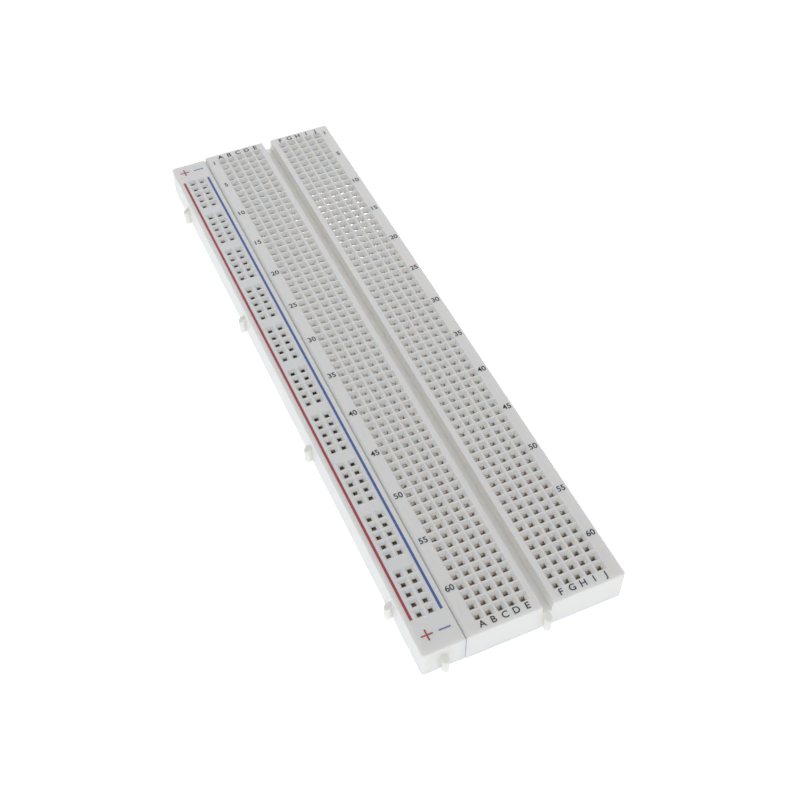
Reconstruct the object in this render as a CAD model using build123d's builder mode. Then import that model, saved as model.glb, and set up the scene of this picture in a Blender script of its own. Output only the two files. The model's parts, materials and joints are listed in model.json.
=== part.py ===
"""Solderless breadboard: a 63-row terminal strip with one power rail hooked to its left side.

Millimetres, +Z up.  The origin is on the underside, below the middle of the centre channel.
+Y runs along the board towards row 1, and +X from the power rail towards column J.
"""

from build123d import *

import os
from math import cos, radians, sin

# Tie-point grid: every hole of the board stands on a multiple of the standard pitch
pitch = 2.54
row_count = 63
bank_columns = 5
bank_gap = 3 * pitch  # from column E to column F, so that a chip straddles the channel
rail_group_size = 5
rail_group_pitch = 6 * pitch
rail_group_count = 10
rail_row_offset = 0.3  # the rail's holes stand this far from the middle, towards row 1

# Outside sizes
board_length = 165.1
terminal_width = 36.2
top_z = 8.5
rail_length = 164.8
rail_width = 9.6
rail_drop = 0.5  # the rail's top face is this much lower
strip_gap = 0.07
corner_radius = 0.7
edge_break = 0.35
edge_softening = 0.1
shoulder_radius = 0.75  # along the terminal strip's long top edges
arc_facets = 4

# Peel-off foam backing
liner_thickness = 0.1
foam_thickness = 0.5
backing_inset = 0.06
base_z = liner_thickness + foam_thickness

# Tie point: a square funnel over a square hole, shallower in the rail
mouth = 2.14
throat = 1.06
funnel_depth = 1.0
plate_thickness = 1.3
rail_throat = 1.0
rail_funnel_depth = 0.65
rail_plate_thickness = 0.95

# Clip pockets, open underneath
pocket_width = 2.0
pocket_margin = 1.3  # past the centre of the last hole

# Centre channel
channel_top = 2.6
channel_floor = 2.1
channel_depth = 2.9
channel_edge = 0.08

# Hooks that join strips: round-headed tabs, and sockets open underneath
tab_radius = 0.85
tab_reach = 1.65
tab_neck = 1.2
tab_facets = 16
tab_root = 0.4  # how deep the tab's neck starts inside the wall
tab_height = 4.6
tab_tip_height = 3.6
hook_clearance = 0.15
side_hooks = (-67.5, -22.5, 22.5, 67.5)
notch_margin = 0.25  # of the backing round a socket

# Spring clips, 0.2 mm sheet
sheet = 0.2
clip_half_width = 0.9
clip_lift = 0.1  # clear of the foam
clip_headroom = 0.05
slot_floor = 0.8
pinch_half_gap = 0.08
flare_half_gap = 0.75
flare_height = 0.67
finger_width = 1.9
rows_per_node = 5

# Places that follow from the sizes above
half_length = board_length / 2
half_width = terminal_width / 2
rail_x = -half_width - strip_gap - rail_width / 2
rail_top_z = top_z - rail_drop
first_column = bank_gap / 2
bank_x = first_column + (bank_columns - 1) * pitch / 2
bank_length = (bank_columns - 1) * pitch
row_y = [(row_count - 1) / 2 * pitch - row * pitch for row in range(row_count)]
column_x = [side * (first_column + step * pitch) for side in (-1, 1) for step in range(bank_columns)]
rail_hole_y = [
    rail_row_offset
    + (group - (rail_group_count - 1) / 2) * rail_group_pitch
    + (hole - (rail_group_size - 1) / 2) * pitch
    for group in range(rail_group_count)
    for hole in range(rail_group_size)
]
rail_hole_x = {"positive": rail_x - pitch / 2, "negative": rail_x + pitch / 2}
hook_offset = tab_reach - tab_radius
socket_offset = hook_offset - strip_gap
socket_height = tab_height + hook_clearance
notch_depth = socket_offset + tab_radius + hook_clearance + notch_margin
notch_width = 2 * (tab_radius + hook_clearance + notch_margin)
clip_z = base_z + clip_lift

os.makedirs("parts", exist_ok=True)


def save(piece, name):
    """Label a finished piece and write it as parts/NAME.step."""
    piece.label = name
    export_step(piece, f"parts/{name}.step")


def outline(width, length, sharp_side):
    """Points of a rectangle with corners rounded by short flats, but for one sharp near corner."""
    points = []
    for quarter, (x, y) in enumerate(((1, 1), (-1, 1), (-1, -1), (1, -1))):
        if y < 0 and x == sharp_side:
            points.append((x * width / 2, y * length / 2))
            continue
        centre_x = x * (width / 2 - corner_radius)
        centre_y = y * (length / 2 - corner_radius)
        for facet in range(arc_facets + 1):
            angle = radians(90 * quarter + 90 * facet / arc_facets)
            points.append((centre_x + corner_radius * cos(angle), centre_y + corner_radius * sin(angle)))
    return points


def block(width, length, height, sharp_side):
    """A housing blank standing on XY, with softened top edges."""
    with BuildPart() as blank:
        with BuildSketch():
            with BuildLine():
                Polyline(*outline(width, length, sharp_side), close=True)
            make_face()
        extrude(amount=height)
        chamfer(blank.faces().sort_by(Axis.Z)[-1].edges(), edge_break)
        rim = blank.edges().group_by(Axis.Z)[-1]
        brow = blank.edges().filter_by(Plane.XY).group_by(Axis.Z)[-2]
        chamfer(rim + brow, edge_softening)
    return blank.part


def hook_tab():
    """A tab that points along +X from a wall at X = 0, standing on XY, with a sloped top."""
    with BuildPart() as tab:
        with BuildSketch():
            with Locations((hook_offset, 0)):
                RegularPolygon(tab_radius, tab_facets)
            with Locations((-tab_root, 0)):
                Rectangle(tab_root + hook_offset, tab_neck, align=(Align.MIN, Align.CENTER))
        extrude(amount=tab_height)
        with BuildSketch(Plane.XZ):
            with BuildLine():
                Polyline(
                    (-tab_root, 0),
                    (tab_reach, 0),
                    (tab_reach, tab_tip_height),
                    (0, tab_height),
                    (-tab_root, tab_height),
                    close=True,
                )
            make_face()
        extrude(amount=2 * tab_radius, both=True, mode=Mode.INTERSECT)
    return tab.part


def hook_socket():
    """The space that a neighbour's tab needs inside a wall at X = 0, cut towards -X."""
    with BuildPart() as socket:
        with BuildSketch():
            with Locations((-socket_offset, 0)):
                RegularPolygon(tab_radius + hook_clearance, tab_facets)
            with Locations((-socket_offset, 0)):
                Rectangle(
                    socket_offset + tab_root, tab_neck + 2 * hook_clearance, align=(Align.MIN, Align.CENTER)
                )
        extrude(amount=socket_height)
    return socket.part


def tie_point(throat_width, funnel, plate):
    """The space of one hole below a top face at Z = 0, through a plate, with its funnel's depth."""
    flare = (mouth - throat_width) / 2
    with BuildPart() as hole:
        with BuildSketch():
            Rectangle(mouth, mouth)
        extrude(amount=-funnel, taper=Vector(funnel, 0).get_angle(Vector(funnel, flare)))
        with BuildSketch(Plane.XY.offset(-funnel)):
            Rectangle(throat_width, throat_width)
        extrude(amount=funnel - plate)
    return hole.part


def spring_clip(contacts, height):
    """A clip along X with a pair of fingers at each contact, standing on XY."""
    pinch_height = height - flare_height
    half_profile = [
        (clip_half_width, 0),
        (pinch_half_gap + sheet, pinch_height),
        (flare_half_gap + sheet, height),
        (flare_half_gap, height),
        (pinch_half_gap, pinch_height),
        (clip_half_width - sheet, sheet),
    ]
    other_half = [(-y, z) for y, z in reversed(half_profile)]
    with BuildPart() as clip:
        with BuildSketch(Plane.YZ.offset(contacts[0] - finger_width / 2)):
            with BuildLine():
                Polyline(*half_profile, *other_half, close=True)
            make_face()
        extrude(amount=contacts[-1] - contacts[0] + finger_width)
        for before, after in zip(contacts, contacts[1:]):
            with Locations(((before + after) / 2, 0, slot_floor)):
                Box(
                    after - before - finger_width,
                    3 * clip_half_width,
                    height,
                    align=(Align.CENTER, Align.CENTER, Align.MIN),
                    mode=Mode.SUBTRACT,
                )
    return clip.part


def backing_sheet(plane, width, length, thickness, sharp_side, sockets):
    """A sheet of the backing, notched below its strip's sockets."""
    with BuildPart() as piece:
        with BuildSketch(plane):
            with BuildLine():
                Polyline(
                    *outline(width - 2 * backing_inset, length - 2 * backing_inset, sharp_side), close=True
                )
            make_face()
        extrude(amount=thickness)
        with Locations(*sockets):
            Box(2 * notch_depth, notch_width, 2 * base_z, mode=Mode.SUBTRACT)
    return piece.part


# Where each strip carries its tabs and its sockets: tabs on the -X side and the near end,
# sockets on the +X side and the far end
terminal_tabs = [Location((-half_width, y, base_z), (0, 0, 180)) for y in side_hooks]
terminal_tabs.append(Location((0, -half_length, base_z), (0, 0, -90)))
terminal_sockets = [Location((half_width, y, base_z)) for y in side_hooks]
terminal_sockets.append(Location((0, half_length, base_z), (0, 0, 90)))
rail_tabs = [Location((rail_x - rail_width / 2, y, base_z), (0, 0, 180)) for y in side_hooks]
rail_tabs.append(Location((rail_x, -rail_length / 2, base_z), (0, 0, -90)))
rail_sockets = [Location((rail_x + rail_width / 2, y, base_z)) for y in side_hooks]
rail_sockets.append(Location((rail_x, rail_length / 2, base_z), (0, 0, 90)))

# The corner of the section that the terminal strip's rounded shoulder leaves out
shoulder_angles = [radians(90 * facet / arc_facets) for facet in range(arc_facets + 1)]
shoulder = [
    (half_width - shoulder_radius * (1 - sin(angle)), top_z - shoulder_radius * (1 - cos(angle)))
    for angle in shoulder_angles
]
shoulder.append((half_width, top_z))

# Shapes that repeat
tab = hook_tab()
socket = hook_socket()
terminal_hole = tie_point(throat, funnel_depth, plate_thickness)
rail_hole = tie_point(rail_throat, rail_funnel_depth, rail_plate_thickness)

# Terminal strip: the moulded block
terminal_blank = block(terminal_width, board_length, top_z - base_z, sharp_side=-1)
with BuildPart() as terminal_block:
    with Locations((0, 0, base_z)):
        add(terminal_blank)
    with Locations(*terminal_tabs):
        add(tab)
    with Locations(*terminal_sockets):
        add(socket, mode=Mode.SUBTRACT)
    with BuildSketch(Plane.XZ.offset(-board_length)):
        with BuildLine():
            Polyline(
                (-channel_floor / 2, top_z - channel_depth),
                (channel_floor / 2, top_z - channel_depth),
                (channel_top / 2, top_z - channel_edge),
                (channel_top / 2 + channel_edge, top_z),
                (-channel_top / 2 - channel_edge, top_z),
                (-channel_top / 2, top_z - channel_edge),
                close=True,
            )
        make_face()
        for side in (-1, 1):
            with BuildLine():
                Polyline(*[(side * x, z) for x, z in shoulder], close=True)
            make_face()
    extrude(amount=2 * board_length, mode=Mode.SUBTRACT)
    with BuildSketch(Plane.XY.offset(base_z)):
        with Locations(*[(side * bank_x, y) for side in (-1, 1) for y in row_y]):
            Rectangle(bank_length + 2 * pocket_margin, pocket_width)
    extrude(amount=top_z - plate_thickness - base_z, mode=Mode.SUBTRACT)
    with Locations(*[(x, y, top_z) for x in column_x for y in row_y]):
        add(terminal_hole, mode=Mode.SUBTRACT)
save(terminal_block.part, "terminal_block")

# Power rail: the moulded block
rail_blank = block(rail_width, rail_length, rail_top_z - base_z, sharp_side=1)
with BuildPart() as rail_block:
    with Locations((rail_x, 0, base_z)):
        add(rail_blank)
    with Locations(*rail_tabs):
        add(tab)
    with Locations(*rail_sockets):
        add(socket, mode=Mode.SUBTRACT)
    with BuildSketch(Plane.XY.offset(base_z)):
        with Locations(*[(x, rail_row_offset) for x in rail_hole_x.values()]):
            Rectangle(pocket_width, rail_hole_y[-1] - rail_hole_y[0] + 2 * pocket_margin)
    extrude(amount=rail_top_z - rail_plate_thickness - base_z, mode=Mode.SUBTRACT)
    with Locations(*[(x, y, rail_top_z) for x in rail_hole_x.values() for y in rail_hole_y]):
        add(rail_hole, mode=Mode.SUBTRACT)
save(rail_block.part, "rail_block")

# Terminal strip: a five-contact clip below each half row, five rows to a node
row_contacts = [(step - (bank_columns - 1) / 2) * pitch for step in range(bank_columns)]
row_clip = spring_clip(row_contacts, top_z - plate_thickness - clip_headroom - clip_z)
for bank, side in (("a_e", -1), ("f_j", 1)):
    for first in range(0, row_count, rows_per_node):
        group_y = row_y[first : first + rows_per_node]
        with BuildPart() as row_clips:
            with Locations(*[(side * bank_x, y, clip_z) for y in group_y]):
                add(row_clip)
        save(row_clips.part, f"clips_{bank}_rows_{first + 1:02d}_{first + len(group_y):02d}")

# Power rail: one long clip below each column of holes
long_clip = spring_clip(rail_hole_y, rail_top_z - rail_plate_thickness - clip_headroom - clip_z)
for polarity, x in rail_hole_x.items():
    with BuildPart() as bus_clip:
        with Locations(Location((x, 0, clip_z), (0, 0, 90))):
            add(long_clip)
    save(bus_clip.part, f"{polarity}_bus_clip")

# Backing: a foam pad and its release liner under each strip
strips = {
    "terminal": (0, terminal_width, board_length, -1, terminal_sockets),
    "rail": (rail_x, rail_width, rail_length, 1, rail_sockets),
}
layers = {
    "foam_pad": (liner_thickness, foam_thickness),
    "release_liner": (0, liner_thickness),
}
for strip, (x, width, length, sharp_side, sockets) in strips.items():
    for layer, (z, thickness) in layers.items():
        sheet_part = backing_sheet(Plane((x, 0, z)), width, length, thickness, sharp_side, sockets)
        save(sheet_part, f"{strip}_{layer}")
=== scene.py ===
"""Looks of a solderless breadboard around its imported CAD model.  Metres, in the CAD frame."""

import json
import math

import bmesh
import bpy
from mathutils import Matrix, Vector


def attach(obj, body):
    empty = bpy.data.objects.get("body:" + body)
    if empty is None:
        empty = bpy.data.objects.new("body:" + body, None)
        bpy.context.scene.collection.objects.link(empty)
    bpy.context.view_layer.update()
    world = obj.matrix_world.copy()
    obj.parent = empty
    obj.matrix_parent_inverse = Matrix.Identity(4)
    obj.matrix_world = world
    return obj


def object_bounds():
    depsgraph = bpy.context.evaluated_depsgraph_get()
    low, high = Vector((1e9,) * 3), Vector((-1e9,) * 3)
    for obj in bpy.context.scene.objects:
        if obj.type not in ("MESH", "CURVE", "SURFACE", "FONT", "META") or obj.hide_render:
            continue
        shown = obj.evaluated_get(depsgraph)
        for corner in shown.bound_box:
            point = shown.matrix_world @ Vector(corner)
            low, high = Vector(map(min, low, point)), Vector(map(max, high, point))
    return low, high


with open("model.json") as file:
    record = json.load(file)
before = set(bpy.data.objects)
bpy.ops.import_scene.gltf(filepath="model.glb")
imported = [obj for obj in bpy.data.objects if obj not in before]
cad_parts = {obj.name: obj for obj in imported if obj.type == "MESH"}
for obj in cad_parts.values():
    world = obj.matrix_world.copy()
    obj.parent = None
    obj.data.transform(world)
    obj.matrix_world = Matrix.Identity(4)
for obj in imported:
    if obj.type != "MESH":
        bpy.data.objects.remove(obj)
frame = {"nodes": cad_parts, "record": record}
cad_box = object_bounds()

MM = 0.001

# Tie-point grid
PITCH = 2.54 * MM
ROWS = 63
NUMBERED_EVERY = 5  # rows, after row 1
BANK_COLUMNS = 5
RAIL_GROUPS = 10
RAIL_GROUP_HOLES = 5
RAIL_GROUP_ROWS = 6  # from group to group

# Printed marks
INK_THICKNESS = 0.012 * MM
INK_LIFT = 0.003 * MM
LETTER_HEIGHT = 1.58 * MM
LETTER_OFFSET = 2.16 * MM  # from the last row's centre to a letter's centre
NUMBER_HEIGHT = 1.5 * MM
NUMBER_OFFSET = 2.38 * MM  # from the outermost column to a number's centre
NUMBER_RISE = 0.3 * MM
RED_LINE_OFFSET = 3.40 * MM
BLUE_LINE_OFFSET = 3.28 * MM
LINE_WIDTH = 0.58 * MM
LINE_OVERHANG = 0.8 * MM
RAIL_PRINT_SHIFT = -0.1 * MM  # along the board, from the middle of the rail's holes
SIGN_OFFSET_X = 1.94 * MM
SIGN_OFFSET_Y = 5.05 * MM
SIGN_LENGTH = 2.6 * MM
PLUS_STROKE = 0.32 * MM
MINUS_STROKE = 0.28 * MM

# The built-in font at size 1
FONT_CAP_HEIGHT = 0.729
FONT_BOLDNESS = 0.01
FONT_CURVE_STEPS = 6
WELD_DISTANCE = 1e-7

# Stage
FLOOR_HALF_WIDTH = 3.0
FLOOR_GAP = 0.02 * MM  # below the board
HORIZON_COLOUR = (0.12, 0.122, 0.130)
ZENITH_COLOUR = (0.69, 0.70, 0.755)

# Area lights: name, place, target, size in metres, watts.  The last one's reflection
# glints on the clips in the far holes of columns F to J.
AREA_LIGHTS = (
    ("key_softbox", (0.26, 0.72, 0.56), (0, 0, 0), (0.5, 0.35), 1.0),
    ("fill_softbox", (-0.9, -0.75, 1.15), (0, 0, 0), (0.9, 0.7), 2.2),
    ("glint_lamp", (0.285, -0.556, 0.741), (0.009, 0.066, 0), (0.08, 0.08), 0.3),
)

# Camera, with its angles in degrees
CAMERA_PLACE = Vector((-77.82, -188.06, 220.06)) * MM
CAMERA_YAW = 23.557
CAMERA_PITCH = -49.245
CAMERA_ROLL = -0.717
SENSOR_WIDTH = 36.0
LENS = 54.827
CLIP_START, CLIP_END = 0.01, 20

mounts = {m["name"]: m for m in frame["record"]["mounts"]}
bank_a_e = Vector(mounts["tie_points_a_to_e"]["pos_m"])
bank_f_j = Vector(mounts["tie_points_f_to_j"]["pos_m"])
rail_centre = Vector(mounts["power_rail_tie_points"]["pos_m"])


def row_y(row):
    """The Y of a numbered row, from 1 at the far end."""
    return ((ROWS + 1) / 2 - row) * PITCH


# ---------------------------------------------------------------- node helpers


def new_material(name, roughness, metallic=0.0):
    """A material with its node tree, its shader node and a point's place in millimetres."""
    material = bpy.data.materials.new(name)
    material.use_nodes = True
    tree = material.node_tree
    shader = tree.nodes["Principled BSDF"]
    shader.inputs["Roughness"].default_value = roughness
    shader.inputs["Metallic"].default_value = metallic
    place = tree.nodes.new("ShaderNodeTexCoord").outputs["Object"]
    scale = tree.nodes.new("ShaderNodeVectorMath")
    scale.operation = "SCALE"
    scale.inputs["Scale"].default_value = 1 / MM
    tree.links.new(place, scale.inputs[0])
    return material, tree, shader, scale.outputs[0]


def noise(tree, place, scale, detail=2.0, roughness=0.5, stretch=(1, 1, 1)):
    """Noise whose scale counts features per millimetre."""
    mapping = tree.nodes.new("ShaderNodeMapping")
    mapping.inputs["Scale"].default_value = stretch
    texture = tree.nodes.new("ShaderNodeTexNoise")
    texture.inputs["Scale"].default_value = scale
    texture.inputs["Detail"].default_value = detail
    texture.inputs["Roughness"].default_value = roughness
    tree.links.new(place, mapping.inputs["Vector"])
    tree.links.new(mapping.outputs[0], texture.inputs["Vector"])
    return texture.outputs["Fac"]


def ramp(tree, factor, *stops):
    """A colour ramp over (position, colour) stops."""
    node = tree.nodes.new("ShaderNodeValToRGB")
    elements = node.color_ramp.elements
    while len(elements) < len(stops):
        elements.new(0.5)
    for element, (position, colour) in zip(elements, stops):
        element.position = position
        element.color = (*colour, 1)
    tree.links.new(factor, node.inputs["Fac"])
    return node.outputs["Color"]


def remap(tree, value, low, high):
    """A 0 to 1 value stretched to low to high."""
    node = tree.nodes.new("ShaderNodeMapRange")
    node.inputs["To Min"].default_value = low
    node.inputs["To Max"].default_value = high
    tree.links.new(value, node.inputs["Value"])
    return node.outputs["Result"]


def mix_colours(tree, factor, first, second):
    """The second colour over the first, by a fixed share."""
    node = tree.nodes.new("ShaderNodeMix")
    node.data_type = "RGBA"
    node.inputs["Factor"].default_value = factor
    for name, colour in (("A", first), ("B", second)):
        socket = [s for s in node.inputs if s.name == name and s.type == "RGBA"][0]
        tree.links.new(colour, socket)
    return [s for s in node.outputs if s.type == "RGBA"][0]


def bump(tree, shader, height, distance):
    """Relief of the given depth in metres."""
    node = tree.nodes.new("ShaderNodeBump")
    node.inputs["Strength"].default_value = 1.0
    node.inputs["Distance"].default_value = distance
    tree.links.new(height, node.inputs["Height"])
    tree.links.new(node.outputs["Normal"], shader.inputs["Normal"])


# ---------------------------------------------------------------- materials


def moulded_plastic():
    """Off-white ABS with a fine spark-eroded grain and faint flow clouds."""
    material, tree, shader, place = new_material("moulded_abs", 0.42)
    clouds = noise(tree, place, 0.045, 3)
    grain = noise(tree, place, 5.5, 3, 0.6)
    tone = ramp(tree, clouds, (0.3, (0.905, 0.892, 0.838)), (0.7, (0.92, 0.908, 0.854)))
    specks = ramp(tree, grain, (0.35, (0.89, 0.875, 0.82)), (0.6, (0.93, 0.92, 0.868)))
    tree.links.new(mix_colours(tree, 0.3, tone, specks), shader.inputs["Base Color"])
    tree.links.new(remap(tree, grain, 0.36, 0.5), shader.inputs["Roughness"])
    shader.inputs["IOR"].default_value = 1.5
    shader.inputs["Subsurface Weight"].default_value = 0.8
    shader.inputs["Subsurface Radius"].default_value = (1.0, 0.85, 0.7)
    shader.inputs["Subsurface Scale"].default_value = 1.1 * MM
    bump(tree, shader, grain, 0.006 * MM)
    return material


def contact_metal():
    """Bright nickel over bronze, with rolling lines along the strip."""
    material, tree, shader, place = new_material("contact_nickel", 0.28, 1.0)
    rolled = noise(tree, place, 9, 2, 0.5, (0.08, 1, 1))
    tarnish = noise(tree, place, 0.7, 3)
    tone = ramp(tree, tarnish, (0.35, (0.78, 0.69, 0.59)), (0.65, (0.88, 0.81, 0.73)))
    tree.links.new(tone, shader.inputs["Base Color"])
    tree.links.new(remap(tree, rolled, 0.09, 0.2), shader.inputs["Roughness"])
    bump(tree, shader, rolled, 0.004 * MM)
    return material


def foam():
    """White closed-cell foam."""
    material, tree, shader, place = new_material("backing_foam", 0.9)
    cells = tree.nodes.new("ShaderNodeTexVoronoi")
    cells.inputs["Scale"].default_value = 6
    tree.links.new(place, cells.inputs["Vector"])
    depth = cells.outputs["Distance"]
    tone = ramp(tree, depth, (0.0, (0.96, 0.96, 0.955)), (0.8, (0.86, 0.86, 0.855)))
    tree.links.new(tone, shader.inputs["Base Color"])
    bump(tree, shader, depth, 0.05 * MM)
    return material


def liner_paper():
    """Siliconised release paper with a faint fibre pattern."""
    material, tree, shader, place = new_material("liner_paper", 0.35)
    fibres = noise(tree, place, 2.2, 4, 0.7, (0.25, 1, 1))
    tone = ramp(tree, fibres, (0.3, (0.84, 0.82, 0.77)), (0.7, (0.90, 0.885, 0.84)))
    tree.links.new(tone, shader.inputs["Base Color"])
    tree.links.new(remap(tree, fibres, 0.28, 0.45), shader.inputs["Roughness"])
    bump(tree, shader, fibres, 0.01 * MM)
    return material


def ink(name, light, deep):
    """Printed ink, a little uneven in density."""
    material, tree, shader, place = new_material(name, 0.45)
    density = noise(tree, place, 2.5, 4, 0.65)
    tone = ramp(tree, density, (0.3, light), (0.62, deep))
    tree.links.new(tone, shader.inputs["Base Color"])
    tree.links.new(remap(tree, density, 0.4, 0.55), shader.inputs["Roughness"])
    bump(tree, shader, density, 0.004 * MM)
    return material


def sweep_white():
    """The white table that the board lies on."""
    material, tree, shader, place = new_material("white_sweep", 0.85)
    shade = noise(tree, place, 0.02, 2)
    tone = ramp(tree, shade, (0.3, (0.50, 0.50, 0.50)), (0.7, (0.54, 0.54, 0.54)))
    tree.links.new(tone, shader.inputs["Base Color"])
    shader.inputs["Specular IOR Level"].default_value = 0.1
    shader.inputs["Emission Color"].default_value = (0.93, 0.965, 1, 1)
    shader.inputs["Emission Strength"].default_value = 0.94
    return material


# ---------------------------------------------------------------- pieces


def add_piece(name, mesh, material, body):
    """Link a finished mesh as a piece that rides on a body."""
    mesh.materials.clear()
    mesh.materials.append(material)
    piece = bpy.data.objects.new(name, mesh)
    bpy.context.scene.collection.objects.link(piece)
    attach(piece, body)


def add_bar(mesh_builder, centre, size_x, size_y):
    """A thin printed bar, its underside just clear of the plastic."""
    place = Matrix.Translation(centre + Vector((0, 0, INK_LIFT + INK_THICKNESS / 2)))
    scale = Matrix.Diagonal((size_x, size_y, INK_THICKNESS, 1))
    bmesh.ops.create_cube(mesh_builder, size=1, matrix=place @ scale)


def glyph_mesh(text, cap_height):
    """Text as a thin solid, centred on the Z axis and standing on Z = 0."""
    curve = bpy.data.curves.new("glyph", "FONT")
    curve.body = text
    curve.size = 1
    curve.resolution_u = FONT_CURVE_STEPS
    curve.offset = FONT_BOLDNESS
    curve.extrude = INK_THICKNESS / 2
    holder = bpy.data.objects.new("glyph", curve)
    bpy.context.scene.collection.objects.link(holder)
    bpy.context.view_layer.update()
    evaluated = holder.evaluated_get(bpy.context.evaluated_depsgraph_get())
    mesh = bpy.data.meshes.new_from_object(evaluated)
    bpy.data.objects.remove(holder)
    bpy.data.curves.remove(curve)
    xs = [v.co.x for v in mesh.vertices]
    scale = cap_height / FONT_CAP_HEIGHT
    centre = Vector(((min(xs) + max(xs)) / 2, FONT_CAP_HEIGHT / 2, 0))
    mesh.transform(Matrix.Diagonal((scale, scale, 1, 1)) @ Matrix.Translation(-centre))
    mesh.transform(Matrix.Translation((0, 0, INK_THICKNESS / 2)))
    return mesh


def printed_text(name, labels, cap_height, material, body):
    """One piece from (text, place) labels."""
    builder = bmesh.new()
    for text, place in labels:
        mesh = glyph_mesh(text, cap_height)
        mesh.transform(Matrix.Translation(place + Vector((0, 0, INK_LIFT))))
        builder.from_mesh(mesh)
        bpy.data.meshes.remove(mesh)
    bmesh.ops.remove_doubles(builder, verts=builder.verts, dist=WELD_DISTANCE)
    whole = bpy.data.meshes.new(name)
    builder.to_mesh(whole)
    builder.free()
    add_piece(name, whole, material, body)


def print_terminal_marks(black):
    """Column letters past both ends, and row numbers along both sides."""
    letters, numbers = [], []
    for bank, names in ((bank_a_e, "ABCDE"), (bank_f_j, "FGHIJ")):
        for column, letter in enumerate(names):
            x = bank.x + (column - (BANK_COLUMNS - 1) / 2) * PITCH
            for end, row in ((1, 1), (-1, ROWS)):
                letters.append((letter, Vector((x, row_y(row) + end * LETTER_OFFSET, bank.z))))
    half_bank = (BANK_COLUMNS - 1) / 2 * PITCH
    for x in (bank_a_e.x - half_bank - NUMBER_OFFSET, bank_f_j.x + half_bank + NUMBER_OFFSET):
        for row in [1, *range(NUMBERED_EVERY, ROWS, NUMBERED_EVERY)]:
            numbers.append((str(row), Vector((x, row_y(row) + NUMBER_RISE, bank_a_e.z))))
    for name, labels, height in (
        ("printed_column_letters", letters, LETTER_HEIGHT),
        ("printed_row_numbers", numbers, NUMBER_HEIGHT),
    ):
        printed_text(name, labels, height, black, "terminal_strip")


def print_rail_marks(red, blue):
    """A line beside each column of the rail's holes, with a sign past both its ends."""
    half_run = ((RAIL_GROUPS - 1) * RAIL_GROUP_ROWS + RAIL_GROUP_HOLES - 1) / 2 * PITCH
    line_length = 2 * (half_run + LINE_OVERHANG)
    sign_y = half_run + SIGN_OFFSET_Y
    print_centre = rail_centre + Vector((0, RAIL_PRINT_SHIFT, 0))
    for name, material, slot, line_x, sign_x in (
        ("positive", red, "ink_red", -RED_LINE_OFFSET, -SIGN_OFFSET_X),
        ("negative", blue, "ink_blue", BLUE_LINE_OFFSET, SIGN_OFFSET_X),
    ):
        builder = bmesh.new()
        add_bar(builder, print_centre + Vector((line_x, 0, 0)), LINE_WIDTH, line_length)
        for end in (-1, 1):
            sign = print_centre + Vector((sign_x, end * sign_y, 0))
            if name == "positive":
                arm = (SIGN_LENGTH - PLUS_STROKE) / 2
                add_bar(builder, sign, SIGN_LENGTH, PLUS_STROKE)
                for side in (-1, 1):
                    stub = Vector((0, side * (PLUS_STROKE + arm) / 2, 0))
                    add_bar(builder, sign + stub, PLUS_STROKE, arm)
            else:
                add_bar(builder, sign, SIGN_LENGTH, MINUS_STROKE)
        mesh = bpy.data.meshes.new(f"printed_{name}_marks")
        builder.to_mesh(mesh)
        builder.free()
        add_piece(f"printed_{name}_marks", mesh, material, "power_rail")


def dress_cad_nodes(plastic, metal, foam_white, paper):
    """Give each CAD node its material by its name."""
    for name, node in frame["nodes"].items():
        if name.endswith("_block"):
            material = plastic
        elif name.endswith("foam_pad"):
            material = foam_white
        elif name.endswith("liner"):
            material = paper
        else:
            material = metal
        node.data.materials.clear()
        node.data.materials.append(material)


# ---------------------------------------------------------------- stage, lights, camera


def add_floor():
    """The table, just clear of the board's underside."""
    low, _ = cad_box
    mesh = bpy.data.meshes.new("floor")
    half = FLOOR_HALF_WIDTH
    corners = [(-half, -half, 0), (half, -half, 0), (half, half, 0), (-half, half, 0)]
    mesh.from_pydata(corners, [], [(0, 1, 2, 3)])
    mesh.materials.append(sweep_white())
    floor = bpy.data.objects.new("floor", mesh)
    floor.location.z = low.z - FLOOR_GAP
    bpy.context.scene.collection.objects.link(floor)


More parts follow.
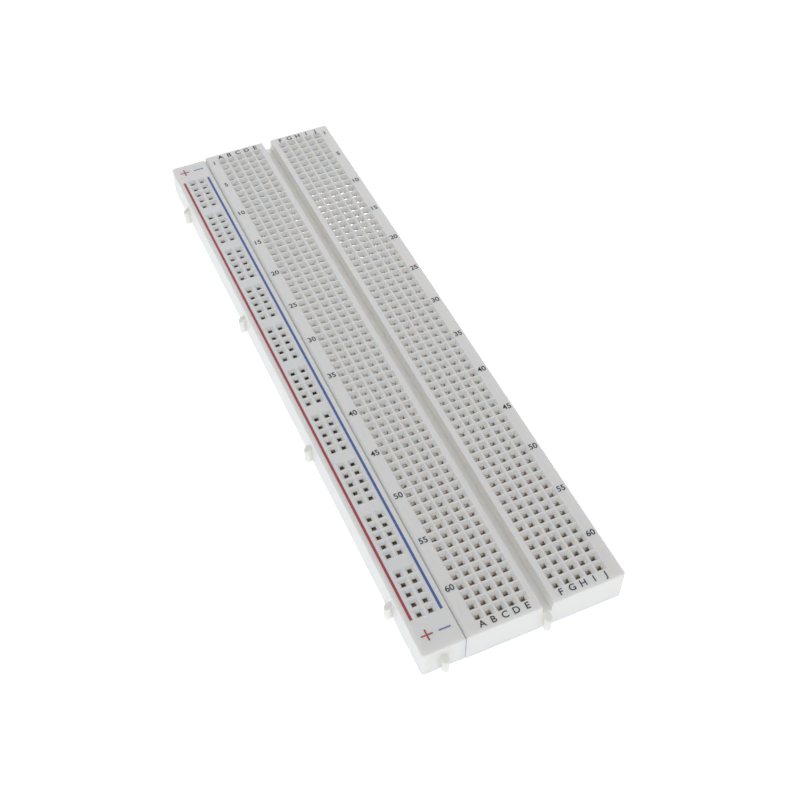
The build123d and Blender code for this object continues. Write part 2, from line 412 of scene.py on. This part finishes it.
def add_sky():
    """Even studio light, brighter overhead than near the horizon."""
    world = bpy.data.worlds.new("studio")
    world.use_nodes = True
    bpy.context.scene.world = world
    tree = world.node_tree
    direction = tree.nodes.new("ShaderNodeTexCoord").outputs["Generated"]
    split = tree.nodes.new("ShaderNodeSeparateXYZ")
    tree.links.new(direction, split.inputs[0])
    colour = ramp(tree, split.outputs["Z"], (0.0, HORIZON_COLOUR), (1.0, ZENITH_COLOUR))
    background = tree.nodes["Background"]
    tree.links.new(colour, background.inputs["Color"])
    background.inputs["Strength"].default_value = 1.0


def add_area_light(name, place, target, size, watts):
    """A rectangular light that faces its target."""
    data = bpy.data.lights.new(name, "AREA")
    data.shape = "RECTANGLE"
    data.size, data.size_y = size
    data.energy = watts
    light = bpy.data.objects.new(name, data)
    light.location = place
    light.rotation_mode = "QUATERNION"
    light.rotation_quaternion = (Vector(target) - Vector(place)).to_track_quat("-Z", "Y")
    bpy.context.scene.collection.objects.link(light)


def add_camera():
    """A camera high above the near end, looking along the board."""
    data = bpy.data.cameras.new("camera")
    data.sensor_width = SENSOR_WIDTH
    data.lens = LENS
    data.clip_start, data.clip_end = CLIP_START, CLIP_END
    camera = bpy.data.objects.new("camera", data)
    turn = (
        Matrix.Rotation(math.radians(-CAMERA_YAW), 4, "Z")
        @ Matrix.Rotation(math.radians(90 + CAMERA_PITCH), 4, "X")
        @ Matrix.Rotation(math.radians(CAMERA_ROLL), 4, "Z")
    )
    camera.matrix_world = Matrix.Translation(CAMERA_PLACE) @ turn
    bpy.context.scene.collection.objects.link(camera)
    bpy.context.scene.camera = camera


dress_cad_nodes(moulded_plastic(), contact_metal(), foam(), liner_paper())
print_terminal_marks(ink("ink_black", (0.03, 0.03, 0.032), (0.012, 0.012, 0.014)))
print_rail_marks(
    ink("ink_red", (0.54, 0.095, 0.105), (0.43, 0.05, 0.06)),
    ink("ink_blue", (0.11, 0.19, 0.46), (0.065, 0.125, 0.36)),
)
add_floor()
add_sky()
for area_light in AREA_LIGHTS:
    add_area_light(*area_light)
add_camera()
bpy.context.scene.view_settings.view_transform = "Standard"
